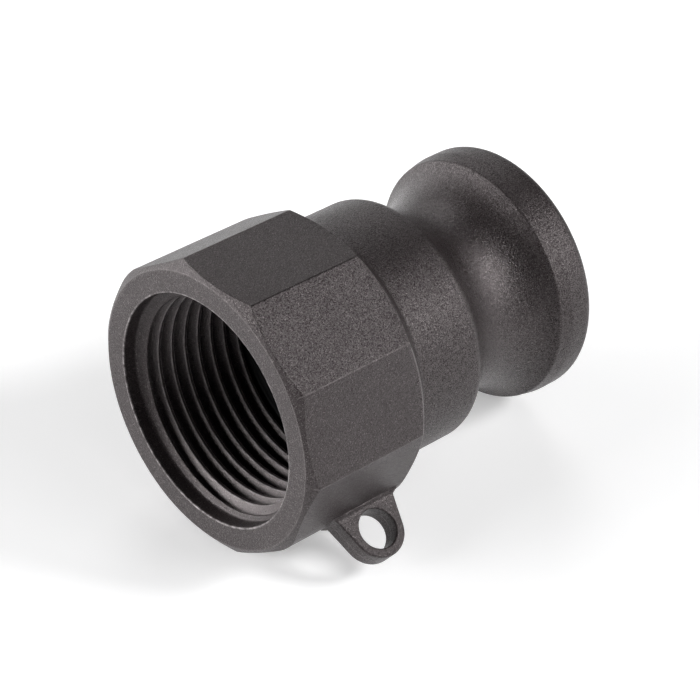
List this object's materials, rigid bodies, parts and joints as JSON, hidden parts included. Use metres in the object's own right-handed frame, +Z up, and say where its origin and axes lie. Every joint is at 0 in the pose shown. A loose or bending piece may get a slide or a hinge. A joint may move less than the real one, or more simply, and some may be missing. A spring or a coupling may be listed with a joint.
{
  "type": "cam-groove adapter",
  "caption": "Black moulded camlock hose adapter: grooved male cam head on one end, wide pipe-thread socket in a faceted wrench collar on the other, with a small drilled tether lug.",
  "frame": {"origin": "on the adapter's axis, in the plane of the collar's front face, at the mouth of the thread socket", "axes": "+X along the adapter's axis from the thread socket to the cam-groove head; +Z up, with the adapter lying on one of the collar's flats; the tether lug points down and to the -Y side"},
  "size_m": [0.0555, 0.0458, 0.041],
  "materials": {
    "filled_plastic": "glass-filled moulded plastic, satin, fine pale speckle",
    "seal_rubber": "black rubber, matte"
  },
  "bodies": {
    "root": {"adapter_body": "filled_plastic", "thread_seal": "seal_rubber"}
  },
  "joints": []
}
